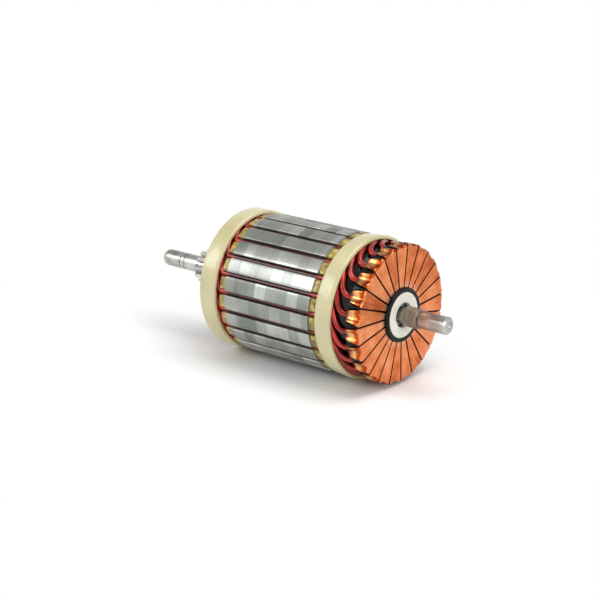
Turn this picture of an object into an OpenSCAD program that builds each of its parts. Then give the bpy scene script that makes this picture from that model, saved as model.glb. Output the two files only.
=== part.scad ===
// Armature of a direct-current starter motor: a wave-wound, slotted core on a
// shaft with a rolled sun pinion at the drive end and a flat face commutator at
// the other. The shaft axis lies along X, the commutator faces +X, and the
// origin is the middle of the shaft's length. All sizes are millimetres.

/* [Shaft] */
// Length of the shaft from tip to tip
shaft_length = 168.5; // [160:0.5:185]
// Diameter of the shaft inside the core
shaft_d = 14; // [12:0.5:17]
// Diameter of the journal beyond the pinion
drive_journal_d = 8; // [7:0.1:9]
// Length from the drive-end tip to the pinion
drive_journal_length = 25; // [18:0.1:30]
// Radius of the rounded nose at the drive-end tip
nose_radius = 3; // [1:0.1:3.5]
// Number of oil grooves round the drive journal
oil_groove_count = 2; // [1:1:3]
// Distance from the drive-end tip to the first oil groove
oil_groove_start = 11.8; // [6:0.1:12]
// Spacing of the oil grooves
oil_groove_pitch = 2.5; // [1.5:0.1:3.5]
// Width of an oil groove
oil_groove_width = 0.8; // [0.4:0.1:1.2]
// Depth of an oil groove
oil_groove_depth = 0.35; // [0.1:0.05:0.6]
// Length of shaft that stands out of the commutator face
commutator_projection = 25.5; // [20:0.1:32]
// Diameter of the journal at the commutator end
commutator_journal_d = 8; // [7:0.1:8.8]
// Diameter of the rough step between commutator and journal
step_d = 9.2; // [9:0.1:10.4]
// Distance from the commutator face to the near end of the rough step
step_start = 3.1; // [2:0.1:5]
// Length of the rough step
step_length = 7.5; // [3:0.1:9]
// Width of the runout groove between step and journal
runout_width = 1.2; // [0.5:0.1:2]
// Depth of the runout groove below the journal
runout_depth = 0.4; // [0.1:0.05:0.8]
// Diameter of the neck inside the commutator's washer
neck_d = 7.6; // [6:0.1:8.6]
// Distance from the washer's back to the end of the commutator's seat
neck_recess = 0.7; // [0.2:0.1:2]
// Diameter of the seat that carries the commutator
hub_seat_d = 11; // [10:0.1:12]
// Length of the relief between the pinion and the shaft's body
relief_length = 2; // [1:0.1:4]
// Chamfer at the commutator-end tip and at each shoulder
chamfer = 0.7; // [0.2:0.1:1.2]

/* [Pinion] */
// Number of teeth of the sun pinion
pinion_teeth = 11; // [10:1:12]
// Module of the sun pinion
pinion_module = 1.25; // [1.2:0.05:1.35]
// Length of the pinion's teeth
pinion_length = 17; // [12:0.5:20]

/* [Core] */
// Outside diameter of the lamination stack
core_d = 65; // [62:0.1:70]
// Length of the lamination stack
core_length = 49; // [40:0.5:53]
// Distance from the commutator face to the stack
core_setback = 27.4; // [25:0.1:32]
// Number of slots, coils and commutator segments
slots = 23; // [21:2:23]
// Width of a slot's mouth at the rim
slot_opening = 2.05; // [1.2:0.05:2.5]
// Thickness of the tooth lips that close a slot
tooth_lip = 0.9; // [0.5:0.05:1.2]
// Angle of the first slot from +Z, turning towards -Y
slot_angle = 7.1; // [0:0.1:15]

/* [Insulation] */
// Thickness of the insulating disc at each end of the stack
insulator_t = 3.2; // [2.6:0.1:4]
// How far the discs' rim lies below the stack's surface
insulator_inset = 0.5; // [0:0.1:1.5]
// Thickness of the slot liners
liner_t = 0.2; // [0.1:0.05:0.3]
// How far a liner stands out of the stack at each end
liner_projection = 0.6; // [0.2:0.1:0.8]

/* [Winding] */
// Diameter of the enamelled conductor
conductor_d = 2.6; // [2.2:0.05:2.65]
// Clearance between the two layers of conductors
layer_gap = 0.4; // [0.35:0.05:0.6]
// Thickness of the black sleeve that parts the two layers of leads
sleeve_t = 0.12; // [0.08:0.02:0.14]
// Angle from a slot to the nearest segment
segment_offset = -6.4; // [-7:0.1:7]
// Degrees that an end turn sweeps for each millimetre along the shaft
end_turn_sweep = 5.1; // [4.6:0.1:5.2]
// Degrees that an outer lead sweeps for each millimetre, between its bends
lead_sweep = 5; // [4.4:0.1:5.2]

/* [Bands] */
// Wall of the band at the drive end
drive_band_t = 1.6; // [1.2:0.1:2.4]
// Length of the band at the drive end
drive_band_length = 9.2; // [7:0.1:12]
// Gap between the insulating disc and the band at the drive end
drive_band_gap = 2.6; // [1:0.1:4]
// Wall of the commutator-end band at its front
commutator_band_t = 1.6; // [1.5:0.1:2.4]
// Wall that this band loses towards the core
commutator_band_taper = 0.6; // [0:0.1:0.7]
// Length of the band at the commutator end
commutator_band_length = 9; // [6:0.1:11]
// Rounding of the bands' outer edges
band_round = 0.8; // [0.3:0.1:0.9]

/* [Commutator] */
// Outside diameter of the copper face
commutator_d = 62.2; // [60:0.1:64]
// Diameter where the copper ends at the black collar
copper_bore_d = 25.2; // [24:0.1:30]
// Thickness of the copper plate
plate_t = 3.2; // [2.4:0.1:4]
// Width of the saw cut between two segments
cut_w = 0.85; // [0.4:0.05:1.2]
// Distance from the face to the end of a tang
tang_reach = 7.2; // [6:0.1:9]
// Width of a tang at its root, by the face
tang_w = 6.8; // [6:0.1:7]
// Width of a tang at its end
tang_end_w = 4.6; // [4:0.1:5.6]
// Thickness of a tang along its edges
tang_t = 1.9; // [1.6:0.1:2.2]
// How far a tang stands above the edge of the face
tang_rise = 0.6; // [0.2:0.1:0.9]
// Distance from the face to a tang's root
tang_setback = 1; // [0.8:0.1:2]
// Rounding of a tang's corners
tang_round = 1; // [0.4:0.1:1.5]
// Diameter of the electrode that has pressed a trough along each tang
electrode_d = 5; // [4:0.1:5.6]
// Depth of that trough
trough_depth = 1; // [0.5:0.05:1.1]
// Clearance between the copper and the black fins between the tangs
fin_gap = 0.25; // [0.1:0.05:0.5]
// Height of the fins above the edge of the face
fin_rise = 0.2; // [-0.4:0.1:0.6]
// Height of the black collar above the face
collar_height = 1.25; // [0.5:0.05:2]
// Outside diameter of the pale washer in the collar
washer_d = 20.8; // [18:0.1:22]
// Bore of the pale washer
washer_bore_d = 11.3; // [10.6:0.1:13]
// Thickness of the pale washer
washer_t = 2; // [1:0.1:2.6]

/* [Hidden] */
$fn = 96;

// Clearances: of a pressed seat, and round a conductor.
seat_gap = 0.02;
wire_gap = 0.05;

// Stations along the shaft.
drive_tip_x = -shaft_length / 2;
commutator_tip_x = shaft_length / 2;
pinion_x = drive_tip_x + drive_journal_length;
face_x = commutator_tip_x - commutator_projection;
core_front_x = face_x - core_setback;
core_back_x = core_front_x - core_length;
front_insulator_x = core_front_x + insulator_t;
rear_insulator_x = core_back_x - insulator_t;
drive_band_x = rear_insulator_x - drive_band_gap;
collar_x = face_x + collar_height;
washer_back_x = collar_x - washer_t;
plate_back_x = face_x - plate_t;
hub_shoulder_x = front_insulator_x + 1;
hub_rim_back_x = face_x - 13;

// A wave winding: a coil spans one pole, in whole slots, its ends reach two
// segments that lie nearly two poles apart, and each lead covers about half a
// coil's span on its way.
poles = 4;
pitch = 360 / slots;
segment_angle = slot_angle + segment_offset;
coil_span = round(slots / poles);
segment_span = (slots - 1) / (poles / 2);
lead_advance = ceil(coil_span / 2);

// A slot is a round-ended hole for two conductors in their liner.
slot_w = conductor_d + 2 * (liner_t + wire_gap + seat_gap);
layer_step = conductor_d + layer_gap;
outer_slot_r = core_d / 2 - tooth_lip - slot_w / 2;
inner_slot_r = outer_slot_r - layer_step;

// Radii of the two layers under the tangs. Everywhere else, the end windings
// keep the radii that they have in the slots.
tang_under_r = commutator_d / 2 + tang_rise - tang_t;
outer_lead_r = tang_under_r - wire_gap - conductor_d / 2;
inner_lead_r = outer_lead_r - layer_step;
band_bore_r = outer_slot_r + conductor_d / 2 + 2 * wire_gap;
hub_rim_r = inner_lead_r - conductor_d / 2 - 2 * wire_gap;

// Shape of the conductors: lengths along the shaft of the bends and of the
// straight stretch before a tang, the angle over which an end turn's nose changes
// layer, and the rounding of that nose.
tang_straight = 2.8;
tang_bend = 5;
slot_bend = 2.5;
turn_bend = 3.5;
nose_sweep = 6.5;
nose_round = 0.6;
wire_sides = 8;

function numbered(name, i) = str(name, i < 9 ? "_0" : "_", i + 1);

// Turns a profile drawn as [radius, station] round the shaft axis, so that an
// angle is counted from +Z towards -Y.
module turned(angle = 360, start = 0) {
    rotate([0, 90, 0]) rotate_extrude(angle = angle, start = 180 + start) children();
}

// Extrudes a section drawn as [Y, Z] along the shaft.
module along_shaft(x, length) {
    translate([x, 0, 0]) rotate([90, 0, 90]) linear_extrude(length) children();
}

// Points of an arc, for outlines.
function arc(cx, cy, r, from, to, steps = 5) =
    [for (i = [0:steps]) let (a = from + (to - from) * i / steps)
        [cx + r * cos(a), cy + r * sin(a)]];

// ---- Shaft ----

// Outline of the journal's oil grooves, towards the pinion.
function oil_grooves(r) =
    [for (i = [0:oil_groove_count - 1])
        let (x = drive_tip_x + oil_groove_start + i * oil_groove_pitch)
        each [[r, x], [r - oil_groove_depth, x],
              [r - oil_groove_depth, x + oil_groove_width], [r, x + oil_groove_width]]];

module shaft_body() {
    journal_r = drive_journal_d / 2;
    body_r = shaft_d / 2;
    seat_r = hub_seat_d / 2;
    step_r = step_d / 2;
    end_r = commutator_journal_d / 2;
    root_x = pinion_x + pinion_length / 2;
    body_x = pinion_x + pinion_length + relief_length;
    neck_x = washer_back_x - neck_recess;
    step_x = face_x + step_start;
    runout_x = step_x + step_length;
    edge = chamfer / 2;
    turned() polygon(concat(
        [[0, drive_tip_x]],
        arc(journal_r - nose_radius, drive_tip_x + nose_radius, nose_radius, -90, 0, 7),
        oil_grooves(journal_r),
        [[journal_r, root_x], [pinion_root_r, root_x], [pinion_root_r, body_x],
         [body_r - chamfer, body_x], [body_r, body_x + chamfer],
         [body_r, hub_shoulder_x - edge], [body_r - edge, hub_shoulder_x],
         [seat_r, hub_shoulder_x], [seat_r, neck_x],
         [neck_d / 2, neck_x], [neck_d / 2, step_x],
         [step_r - edge, step_x], [step_r, step_x + edge],
         [step_r, runout_x - edge], [step_r - edge, runout_x],
         [end_r - runout_depth, runout_x],
         [end_r - runout_depth, runout_x + runout_width],
         [end_r, runout_x + runout_width],
         [end_r, commutator_tip_x - chamfer],
         [end_r - chamfer, commutator_tip_x], [0, commutator_tip_x]]));
}

// Involute teeth of the sun pinion, rolled on the shaft itself.
pinion_pitch_r = pinion_module * pinion_teeth / 2;
pinion_base_r = pinion_pitch_r * cos(20);
pinion_tip_r = pinion_pitch_r + pinion_module;
pinion_root_r = pinion_pitch_r - 1.25 * pinion_module;

// Angle by which an involute has unwound at radius r.
function unwound(r) =
    let (t = sqrt(pow(r / pinion_base_r, 2) - 1)) t * 180 / PI - atan(t);

// Half the angle that a tooth takes at radius r.
function half_tooth(r) = 90 / pinion_teeth + unwound(pinion_pitch_r) - unwound(r);

module pinion_outline() {
    flank = [for (i = [0:4]) pinion_base_r + 0.01 + (pinion_tip_r - pinion_base_r - 0.01) * i / 4];
    foot = half_tooth(flank[0]);
    polygon([for (i = [0:pinion_teeth - 1]) let (a = i * 360 / pinion_teeth) each concat(
        [pinion_root_r * [cos(a - foot), sin(a - foot)]],
        [for (r = flank) r * [cos(a - half_tooth(r)), sin(a - half_tooth(r))]],
        [for (k = [4:-1:0]) let (r = flank[k]) r * [cos(a + half_tooth(r)), sin(a + half_tooth(r))]],
        [pinion_root_r * [cos(a + foot), sin(a + foot)]])]);
}

module shaft() {
    color("#b9bab6") union() {
        shaft_body();
        intersection() {
            along_shaft(pinion_x, pinion_length) pinion_outline();
            // chamfers the teeth at both ends
            turned() polygon([
                [0, pinion_x], [pinion_tip_r - chamfer, pinion_x],
                [pinion_tip_r, pinion_x + chamfer],
                [pinion_tip_r, pinion_x + pinion_length - chamfer],
                [pinion_tip_r - chamfer, pinion_x + pinion_length],
                [0, pinion_x + pinion_length]]);
        }
    }
}

// ---- Core and its insulation ----

// A round-ended hole, w wide, between two centres on the Z axis.
module slot_hole(w, low_r, high_r) {
    translate([0, low_r]) circle(d = w);
    translate([0, high_r]) circle(d = w);
    translate([-w / 2, low_r]) square([w, high_r - low_r]);
}

module at_slots() {
    for (i = [0:slots - 1]) rotate(slot_angle + i * pitch) children();
}

module core() {
    color("#a9aba6") along_shaft(core_back_x, core_length) difference() {
        circle(d = core_d);
        circle(d = shaft_d + 2 * seat_gap);
        at_slots() {
            slot_hole(slot_w, inner_slot_r, outer_slot_r);
            translate([-slot_opening / 2, outer_slot_r])
                square([slot_opening, core_d / 2 - outer_slot_r + 1]);
        }
    }
}

// A disc with the stack's teeth, but open slots.
module end_insulator(x) {
    rim_r = core_d / 2 - insulator_inset;
    color("#b3a548") along_shaft(x, insulator_t) difference() {
        circle(r = rim_r);
        circle(d = shaft_d + 2 * seat_gap);
        at_slots() {
            slot_hole(slot_w, inner_slot_r, outer_slot_r);
            translate([-slot_w / 2, outer_slot_r]) square([slot_w, slot_w]);
        }
    }
}

module drive_end_insulator() { end_insulator(rear_insulator_x); }
module commutator_end_insulator() { end_insulator(core_front_x); }

// One folded liner in each slot, open along the slot's mouth.
module slot_liners() {
    outer_w = slot_w - 2 * seat_gap;
    inner_w = outer_w - 2 * liner_t;
    color("#c9b98a")
    along_shaft(core_back_x - liner_projection, core_length + 2 * liner_projection)
        at_slots() difference() {
            slot_hole(outer_w, inner_slot_r, outer_slot_r);
            slot_hole(inner_w, inner_slot_r, outer_slot_r);
            translate([-slot_opening / 2, outer_slot_r]) square([slot_opening, slot_w]);
        }
}

// ---- Winding ----

// A conductor's course is a list of [station, angle, radius].
function backwards(list) = [for (i = [len(list) - 1:-1:0]) list[i]];
function swung(list, angle) = [for (p = list) [p.x, p.y + angle, p.z]];

// Leads run from the slot to the tang: straight, then slanting, then straight again.
// The slant is as steep as its sweep says, or as the room for it allows.
outer_swing = segment_offset + lead_advance * pitch;
inner_swing = outer_swing + (coil_span - segment_span) * pitch;
lead_run = face_x - tang_reach - front_insulator_x;
bend_end = lead_run - tang_straight;
slot_straight = max(0, bend_end - outer_swing / lead_sweep - (tang_bend + slot_bend) / 2);
slant_start = slot_straight + slot_bend;
slant_end = bend_end - tang_bend;
lead_slant = slant_end - slant_start + (tang_bend + slot_bend) / 2;

// Length of slant that a lead has behind it at v millimetres from the disc.
function slant_done(v) =
    let (w = v - slot_straight)
    w < 0 ? 0
    : w < slot_bend ? w * w / (2 * slot_bend)
    : v < slant_end ? w - slot_bend / 2
    : lead_slant - pow(max(0, bend_end - v), 2) / (2 * tang_bend);

lead_stations = concat(
    [0, slot_straight, slot_straight + slot_bend / 2],
    [for (i = [0:3]) slant_start + (slant_end - slant_start) * i / 4],
    [for (i = [0:3]) slant_end + tang_bend * i / 3], [lead_run]);

// Share of the way from the slot's radius down to the tang's.
function lead_sink(v) =
    let (t = max(0, 1 - (lead_run - v) / (tang_bend + tang_straight))) t * t * (3 - 2 * t);

function lead(swing, slot_r, end_r) = concat(
    [for (v = lead_stations)
        [front_insulator_x + v, swing * slant_done(v) / lead_slant,
         slot_r + (end_r - slot_r) * lead_sink(v)]],
    [[plate_back_x - wire_gap, swing, end_r]]);

// Half an end turn runs from the slot to the nose, where the layers meet.
half_turn = coil_span * pitch / 2;
bend_sweep = end_turn_sweep * turn_bend / 2;
function nose_depth(angle) = sqrt(pow(nose_round, 2) + pow((half_turn - angle) / end_turn_sweep, 2));
function turn_x(angle) =
    rear_insulator_x - turn_bend - nose_depth(bend_sweep) + nose_depth(angle);

// Share of the way from the middle of the nose to the layer's own radius.
function layer_share(angle) =
    let (t = min(1, (half_turn - angle) / nose_sweep)) t * (3 - t * t) / 2;

turn_angles = concat(
    [for (i = [0:3]) bend_sweep + (half_turn - nose_sweep - bend_sweep) * i / 3],
    [half_turn - nose_sweep * 2 / 3, half_turn - nose_sweep / 3]);

function half_end_turn(way, slot_r, nose_r) = concat(
    [[rear_insulator_x, 0, slot_r],
     [rear_insulator_x - turn_bend / 2, way * bend_sweep / 4, slot_r]],
    [for (a = turn_angles) [turn_x(a), way * a, nose_r + (slot_r - nose_r) * layer_share(a)]]);

// A coil is one conductor: outer lead, outer slot side, end turn, inner slot
// side and inner lead.
coil_course =
    let (nose_r = (outer_slot_r + inner_slot_r) / 2, inner_side = -coil_span * pitch)
    concat(
        backwards(lead(outer_swing, outer_slot_r, outer_lead_r)),
        half_end_turn(-1, outer_slot_r, nose_r),
        [[turn_x(half_turn), -half_turn, nose_r]],
        swung(backwards(half_end_turn(1, inner_slot_r, nose_r)), inner_side),
        swung(lead(inner_swing, inner_slot_r, inner_lead_r), inner_side));

// Sweeps a round wire along a course, as one closed skin of rings. Each ring
// starts from the direction away from the shaft, so the skin doesn't twist.
module conductor(course, d) {
    path = [for (p = course) [p.x, -p.z * sin(p.y), p.z * cos(p.y)]];
    last = len(path) - 1;
    rings = [for (i = [0:last])
        let (ahead = path[min(i + 1, last)] - path[max(i - 1, 0)],
             along = ahead / norm(ahead),
             out = [0, path[i].y, path[i].z] / norm([0, path[i].y, path[i].z]),
             across = cross(along, out),
             side = across / norm(across),
             up = cross(side, along))
        [for (k = [0:wire_sides - 1]) let (a = 360 * (k + 0.5) / wire_sides)
            path[i] + d / 2 * (up * cos(a) + side * sin(a))]];
    n = wire_sides;
    polyhedron(
        points = [for (ring = rings) each ring],
        faces = concat(
            [[for (k = [0:n - 1]) k]],
            [for (i = [0:last - 1], k = [0:n - 1]) let (m = (k + 1) % n)
                each [[i * n + k, (i + 1) * n + m, i * n + m],
                      [i * n + k, (i + 1) * n + k, (i + 1) * n + m]]],
            [[for (k = [n - 1:-1:0]) last * n + k]]));
}

module coil(i) {
    color("#a5342c") rotate([slot_angle + i * pitch, 0, 0]) conductor(coil_course, conductor_d);
}

// A thin sleeve lies between the two layers of leads, from the disc to the fins.
module layer_sleeve() {
    end_v = lead_run - fin_slope - fin_gap;
    stations = concat([seat_gap], [for (v = lead_stations) if (v > seat_gap && v < end_v) v], [end_v]);
    function skin(v, side) = [
        (outer_slot_r + inner_slot_r) / 2 + (outer_lead_r - outer_slot_r) * lead_sink(v)
            + side * sleeve_t / 2,
        front_insulator_x + v];
    color("#17191a") turned() polygon(concat(
        [for (v = stations) skin(v, 1)], backwards([for (v = stations) skin(v, -1)])));
}

// ---- Bands over the end windings ----

// A ring between two stations, with rounded outer edges.
module band(x, length, back_r, front_r) {
    color("#e2dbb6") turned() polygon(concat(
        [[band_bore_r, x]],
        arc(back_r - band_round, x + band_round, band_round, -90, 0),
        arc(front_r - band_round, x + length - band_round, band_round, 0, 90),
        [[band_bore_r, x + length]]));
}

module drive_end_band() {
    outer_r = band_bore_r + drive_band_t;
    band(drive_band_x - drive_band_length, drive_band_length, outer_r, outer_r);
}

module commutator_end_band() {
    front_r = band_bore_r + commutator_band_t;
    band(front_insulator_x + seat_gap, commutator_band_length,
         front_r - commutator_band_taper, front_r);
}

// ---- Commutator ----

// The copper's claw, which the black moulding holds: [radius, station].
claw_r = (copper_bore_d + commutator_d) / 4 - 2;
claw_depth = 3;
function claw(gap) = [
    [claw_r - 1.5 - gap, plate_back_x], [claw_r - 2.5 - gap, plate_back_x - claw_depth - gap],
    [claw_r + 2.5 + gap, plate_back_x - claw_depth - gap], [claw_r + 1.5 + gap, plate_back_x]];

// A sector of the face plate with its claw, between two saw cuts.
module plate() {
    edge = 0.8;
    rim_r = commutator_d / 2;
    copper_r = copper_bore_d / 2;
    difference() {
        turned(pitch, -pitch / 2) polygon(concat(
            [[copper_r, face_x], [copper_r, plate_back_x]], claw(0),
            [[rim_r, plate_back_x]],
            arc(rim_r - edge, face_x - edge, edge, 0, 90, 4)));
        for (way = [-1, 1]) rotate([way * pitch / 2, 0, 0])
            translate([face_x - plate_t - claw_depth - 1, -cut_w / 2, 0])
                cube([plate_t + claw_depth + 2, cut_w, rim_r + 1]);
    }
}

// A tongue that narrows away from the face, with its end's corners rounded.
module tang() {
    length = tang_reach - tang_setback;
    r = tang_round;
    linear_extrude(tang_t) polygon(concat(
        [[length, tang_w / 2]],
        arc(r, tang_end_w / 2 - r, r, 90, 180), arc(r, r - tang_end_w / 2, r, 180, 270),
        [[length, -tang_w / 2]]));
}

// One segment: its plate, and the tang that is folded back over the ends of two
// conductors. The electrode that fused them has pressed a trough along the tang.
module segment(i) {
    trough_r = electrode_d / 2;
    tang_top_r = tang_under_r + tang_t;
    color("#d9814f") rotate([segment_angle + i * pitch, 0, 0]) difference() {
        union() {
            plate();
            translate([face_x - tang_reach, 0, tang_under_r]) tang();
        }
        translate([face_x - tang_reach - 1, 0, tang_top_r + trough_r - trough_depth])
            rotate([0, 90, 0]) cylinder(r = trough_r, h = tang_reach + 2);
    }
}

// The black moulding that holds the segments: a sleeve on the shaft, a rim
// behind the plates, the collar round the washer, and fins between the tangs.
module commutator_hub() {
    sleeve_r = hub_seat_d / 2 + 6.5;
    collar_r = washer_d / 2 + seat_gap;
    plate_bore_r = copper_bore_d / 2 - seat_gap;
    back_x = plate_back_x - seat_gap;
    color("#1d211e") union() {
        difference() {
            turned() polygon([
                [hub_seat_d / 2 + seat_gap, hub_shoulder_x + seat_gap],
                [sleeve_r, hub_shoulder_x + seat_gap], [sleeve_r, hub_rim_back_x],
                [hub_rim_r - 1, hub_rim_back_x], [hub_rim_r, hub_rim_back_x + 1],
                [hub_rim_r, back_x], [plate_bore_r, back_x], [plate_bore_r, face_x],
                [collar_r + 0.4, collar_x], [collar_r, collar_x],
                [collar_r, washer_back_x - seat_gap],
                [hub_seat_d / 2 + seat_gap, washer_back_x - seat_gap]]);
            turned() polygon(concat(claw(seat_gap), [[claw_r, plate_back_x + 1]]));
        }
        for (i = [0:slots - 1])
            rotate([segment_angle + (i + 0.5) * pitch, 0, 0]) fin(plate_back_x - fin_gap);
    }
}

// Half the width of the space between two tangs of width w, less the clearance.
function fin_half(w) = tang_under_r * sin(pitch / 2) - w / 2 * cos(pitch / 2) - fin_gap;

// A fin that widens as the tangs narrow, with a sloping back.
fin_slope = 1.8;
module fin(front_x) {
    end_x = face_x - tang_reach;
    back_x = end_x - fin_slope;
    foot_r = hub_rim_r - 1;
    back_r = hub_rim_r + 0.3;
    top_r = commutator_d / 2 + fin_rise;
    intersection() {
        translate([0, 0, foot_r]) linear_extrude(top_r - foot_r) polygon([
            [front_x, fin_half(tang_w)], [end_x, fin_half(tang_end_w)],
            [back_x, fin_half(tang_end_w)], [back_x, -fin_half(tang_end_w)],
            [end_x, -fin_half(tang_end_w)], [front_x, -fin_half(tang_w)]]);
        translate([0, tang_w / 2, 0]) rotate([90, 0, 0]) linear_extrude(tang_w) polygon([
            [front_x, foot_r], [front_x, top_r], [end_x, top_r],
            [back_x, back_r], [back_x, foot_r]]);
    }
}

// The pale washer, sunk in the collar, clear of the shaft's neck.
module collar_washer() {
    edge = 0.3;
    inner_r = washer_bore_d / 2;
    outer_r = washer_d / 2;
    color("#ecebe2") turned() polygon([
        [inner_r, washer_back_x], [outer_r, washer_back_x], [outer_r, collar_x - edge],
        [outer_r - edge, collar_x], [inner_r + edge, collar_x], [inner_r, collar_x - edge]]);
}

shaft();
core();
drive_end_insulator();
commutator_end_insulator();
slot_liners();
layer_sleeve();
drive_end_band();
commutator_end_band();
commutator_hub();
collar_washer();
for (i = [0:slots - 1]) coil(i);
for (i = [0:slots - 1]) segment(i);
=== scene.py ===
"""Looks of a starter motor's armature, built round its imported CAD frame.

The shaft axis lies along X and the commutator faces +X. Lengths are millimetres until a
mesh is finished, and an angle round the shaft is counted from +Z towards -Y.
"""
import math

import bmesh
import bpy
from mathutils import Matrix, Vector


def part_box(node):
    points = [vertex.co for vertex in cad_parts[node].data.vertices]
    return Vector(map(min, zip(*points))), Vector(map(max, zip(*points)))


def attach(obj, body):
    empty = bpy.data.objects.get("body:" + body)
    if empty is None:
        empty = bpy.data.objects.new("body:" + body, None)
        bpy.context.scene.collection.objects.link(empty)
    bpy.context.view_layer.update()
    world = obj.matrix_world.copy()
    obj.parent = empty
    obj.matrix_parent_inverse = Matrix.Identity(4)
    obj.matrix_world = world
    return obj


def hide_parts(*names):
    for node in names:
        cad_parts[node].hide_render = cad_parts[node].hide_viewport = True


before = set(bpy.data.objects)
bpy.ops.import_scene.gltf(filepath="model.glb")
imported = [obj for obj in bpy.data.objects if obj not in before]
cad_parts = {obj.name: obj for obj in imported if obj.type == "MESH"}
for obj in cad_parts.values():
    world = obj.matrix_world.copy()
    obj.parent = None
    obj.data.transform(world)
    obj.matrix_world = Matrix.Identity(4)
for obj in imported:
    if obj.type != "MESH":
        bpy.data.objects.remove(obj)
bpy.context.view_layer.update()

# ---- Shaft ----
# One bar of hardened steel: two ground journals, a rolled sun pinion, and a rough-turned
# step beside the commutator. The drive end has a rounded nose and two oil grooves. Core
# and commutator are pressed on.
MM = 0.001
DRIVE_TIP_X, COMMUTATOR_TIP_X = (corner.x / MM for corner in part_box("shaft"))
JOURNAL_R = 4.0
DRIVE_JOURNAL_LENGTH = 25.0
NOSE_R = 3.0
OIL_GROOVES = (11.8, 14.3)
OIL_GROOVE_WIDTH, OIL_GROOVE_DEPTH, OIL_GROOVE_SIDE = 0.8, 0.35, 0.15
PINION_LENGTH = 17.0
PINION_TEETH = 11
PINION_MODULE = 1.25
PRESSURE_ANGLE = math.radians(20)
DEDENDUM = 1.25 * PINION_MODULE
TOOTH_FOOT = 0.02
PINION_GAP = 2.0
BODY_R = 7.0
SEAT_R = 5.5
NECK_R = 3.8
STEP_R = 4.6
STEP_START, STEP_END = 3.1, 10.6
RUNOUT_WIDTH, RUNOUT_DEPTH, RUNOUT_SIDE = 1.2, 0.4, 0.15
END_CHAMFER = 0.7
EDGE_ROUND = 0.35
FACE_RECESS = 1.5
CENTRE_HOLE_R, CENTRE_HOLE_DEPTH = 1.1, 1.3
POINTS_PER_TOOTH = 14

FACE_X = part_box("segment_01")[1].x / MM
PINION_X = DRIVE_TIP_X + DRIVE_JOURNAL_LENGTH
HUB_SHOULDER_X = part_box("commutator_hub")[0].x / MM


def linear(code):
    """An sRGB hex colour as linear RGBA."""
    shares = [int(code[i:i + 2], 16) / 255 for i in (1, 3, 5)]
    return [s / 12.92 if s <= 0.04045 else ((s + 0.055) / 1.055) ** 2.4 for s in shares] + [1]


def add(material, kind, inputs=(), **settings):
    """Adds a node. A socket among the inputs is linked, and any other value is set."""
    tree = material.node_tree
    node = tree.nodes.new("ShaderNode" + kind)
    for name, value in settings.items():
        setattr(node, name, value)
    for socket, value in dict(inputs).items():
        if isinstance(value, bpy.types.NodeSocket):
            tree.links.new(value, node.inputs[socket])
        else:
            node.inputs[socket].default_value = value
    return node


def new_material(name, **constants):
    """A material whose Principled shader has these constants, with its shader node."""
    material = bpy.data.materials.new(name)
    material.use_nodes = True
    shader = material.node_tree.nodes["Principled BSDF"]
    for socket, value in constants.items():
        shader.inputs[socket.replace("_", " ")].default_value = value
    return material, shader


def link(material, source, shader, socket):
    """Links a node's output to one of the shader's sockets."""
    material.node_tree.links.new(source, shader.inputs[socket])


def maths(material, operation, a, b=0.0):
    """The result of one operation on sockets or numbers."""
    return add(material, "Math", {0: a, 1: b}, operation=operation).outputs[0]


def noise(material, place, scale, detail=3):
    """Noise with this many grains per metre, or per metre along X, Y and Z."""
    if isinstance(scale, tuple):
        place = add(material, "Mapping", {"Vector": place, "Scale": scale}).outputs[0]
        scale = 1
    node = add(material, "TexNoise", {"Vector": place, "Scale": scale, "Detail": detail})
    return node.outputs["Fac"]


def ramp(material, share, *stops):
    """A colour ramp through (position, colour) stops."""
    node = add(material, "ValToRGB", {0: share})
    elements = node.color_ramp.elements
    for _ in stops[2:]:
        elements.new(0.5)
    for element, (position, colour) in zip(elements, stops):
        element.position, element.color = position, linear(colour)
    return node.outputs["Color"]


def ranged(material, value, start, end, low, high):
    """Carries a value from the range start to end over to the range low to high."""
    return add(material, "MapRange", {0: value, 1: start, 2: end, 3: low, 4: high}).outputs[0]


def mixed(material, share, a, b):
    """Colour a, gone over to colour b by this share."""
    return add(material, "Mix", {0: share, 6: a, 7: b}, data_type="RGBA").outputs[2]


def relief(material, shader, height, strength, depth):
    """Gives the shader bumps of this depth in millimetres."""
    bump = add(material, "Bump", {"Height": height, "Strength": strength, "Distance": depth * MM})
    link(material, bump.outputs[0], shader, "Normal")


def spun(profile, steps=96):
    """A closed skin turned round the shaft axis from a profile of (station, radius)."""
    bm = bmesh.new()
    points = [bm.verts.new((x, 0, r)) for x, r in profile]
    for a, b in zip(points, points[1:]):
        bm.edges.new((a, b))
    bmesh.ops.spin(bm, geom=bm.verts[:] + bm.edges[:], cent=(0, 0, 0), axis=(1, 0, 0),
                   angle=math.tau, steps=steps, use_merge=True)
    bmesh.ops.remove_doubles(bm, verts=bm.verts, dist=1e-4)
    bmesh.ops.recalc_face_normals(bm, faces=bm.faces)
    return bm


def arc(x, r, radius, start, end, steps=6):
    """Profile points of an arc about (x, r). 0 degrees looks along X and 90 outwards."""
    turns = [math.radians(start + (end - start) * i / steps) for i in range(steps + 1)]
    return [(x + radius * math.cos(t), r + radius * math.sin(t)) for t in turns]


def finished(bm, name, materials, nodes, sharp=35):
    """Makes a piece from a mesh in millimetres, which stands for CAD nodes."""
    bmesh.ops.scale(bm, vec=(MM, MM, MM), verts=bm.verts)
    for face in bm.faces:
        face.smooth = True
    for edge in bm.edges:
        edge.smooth = len(edge.link_faces) == 2 and edge.calc_face_angle(0) < math.radians(sharp)
    mesh = bpy.data.meshes.new(name)
    bm.to_mesh(mesh)
    bm.free()
    for material in materials:
        mesh.materials.append(material)
    piece = bpy.data.objects.new(name, mesh)
    bpy.context.scene.collection.objects.link(piece)
    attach(piece, "root")
    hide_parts(*nodes)
    return piece


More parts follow.
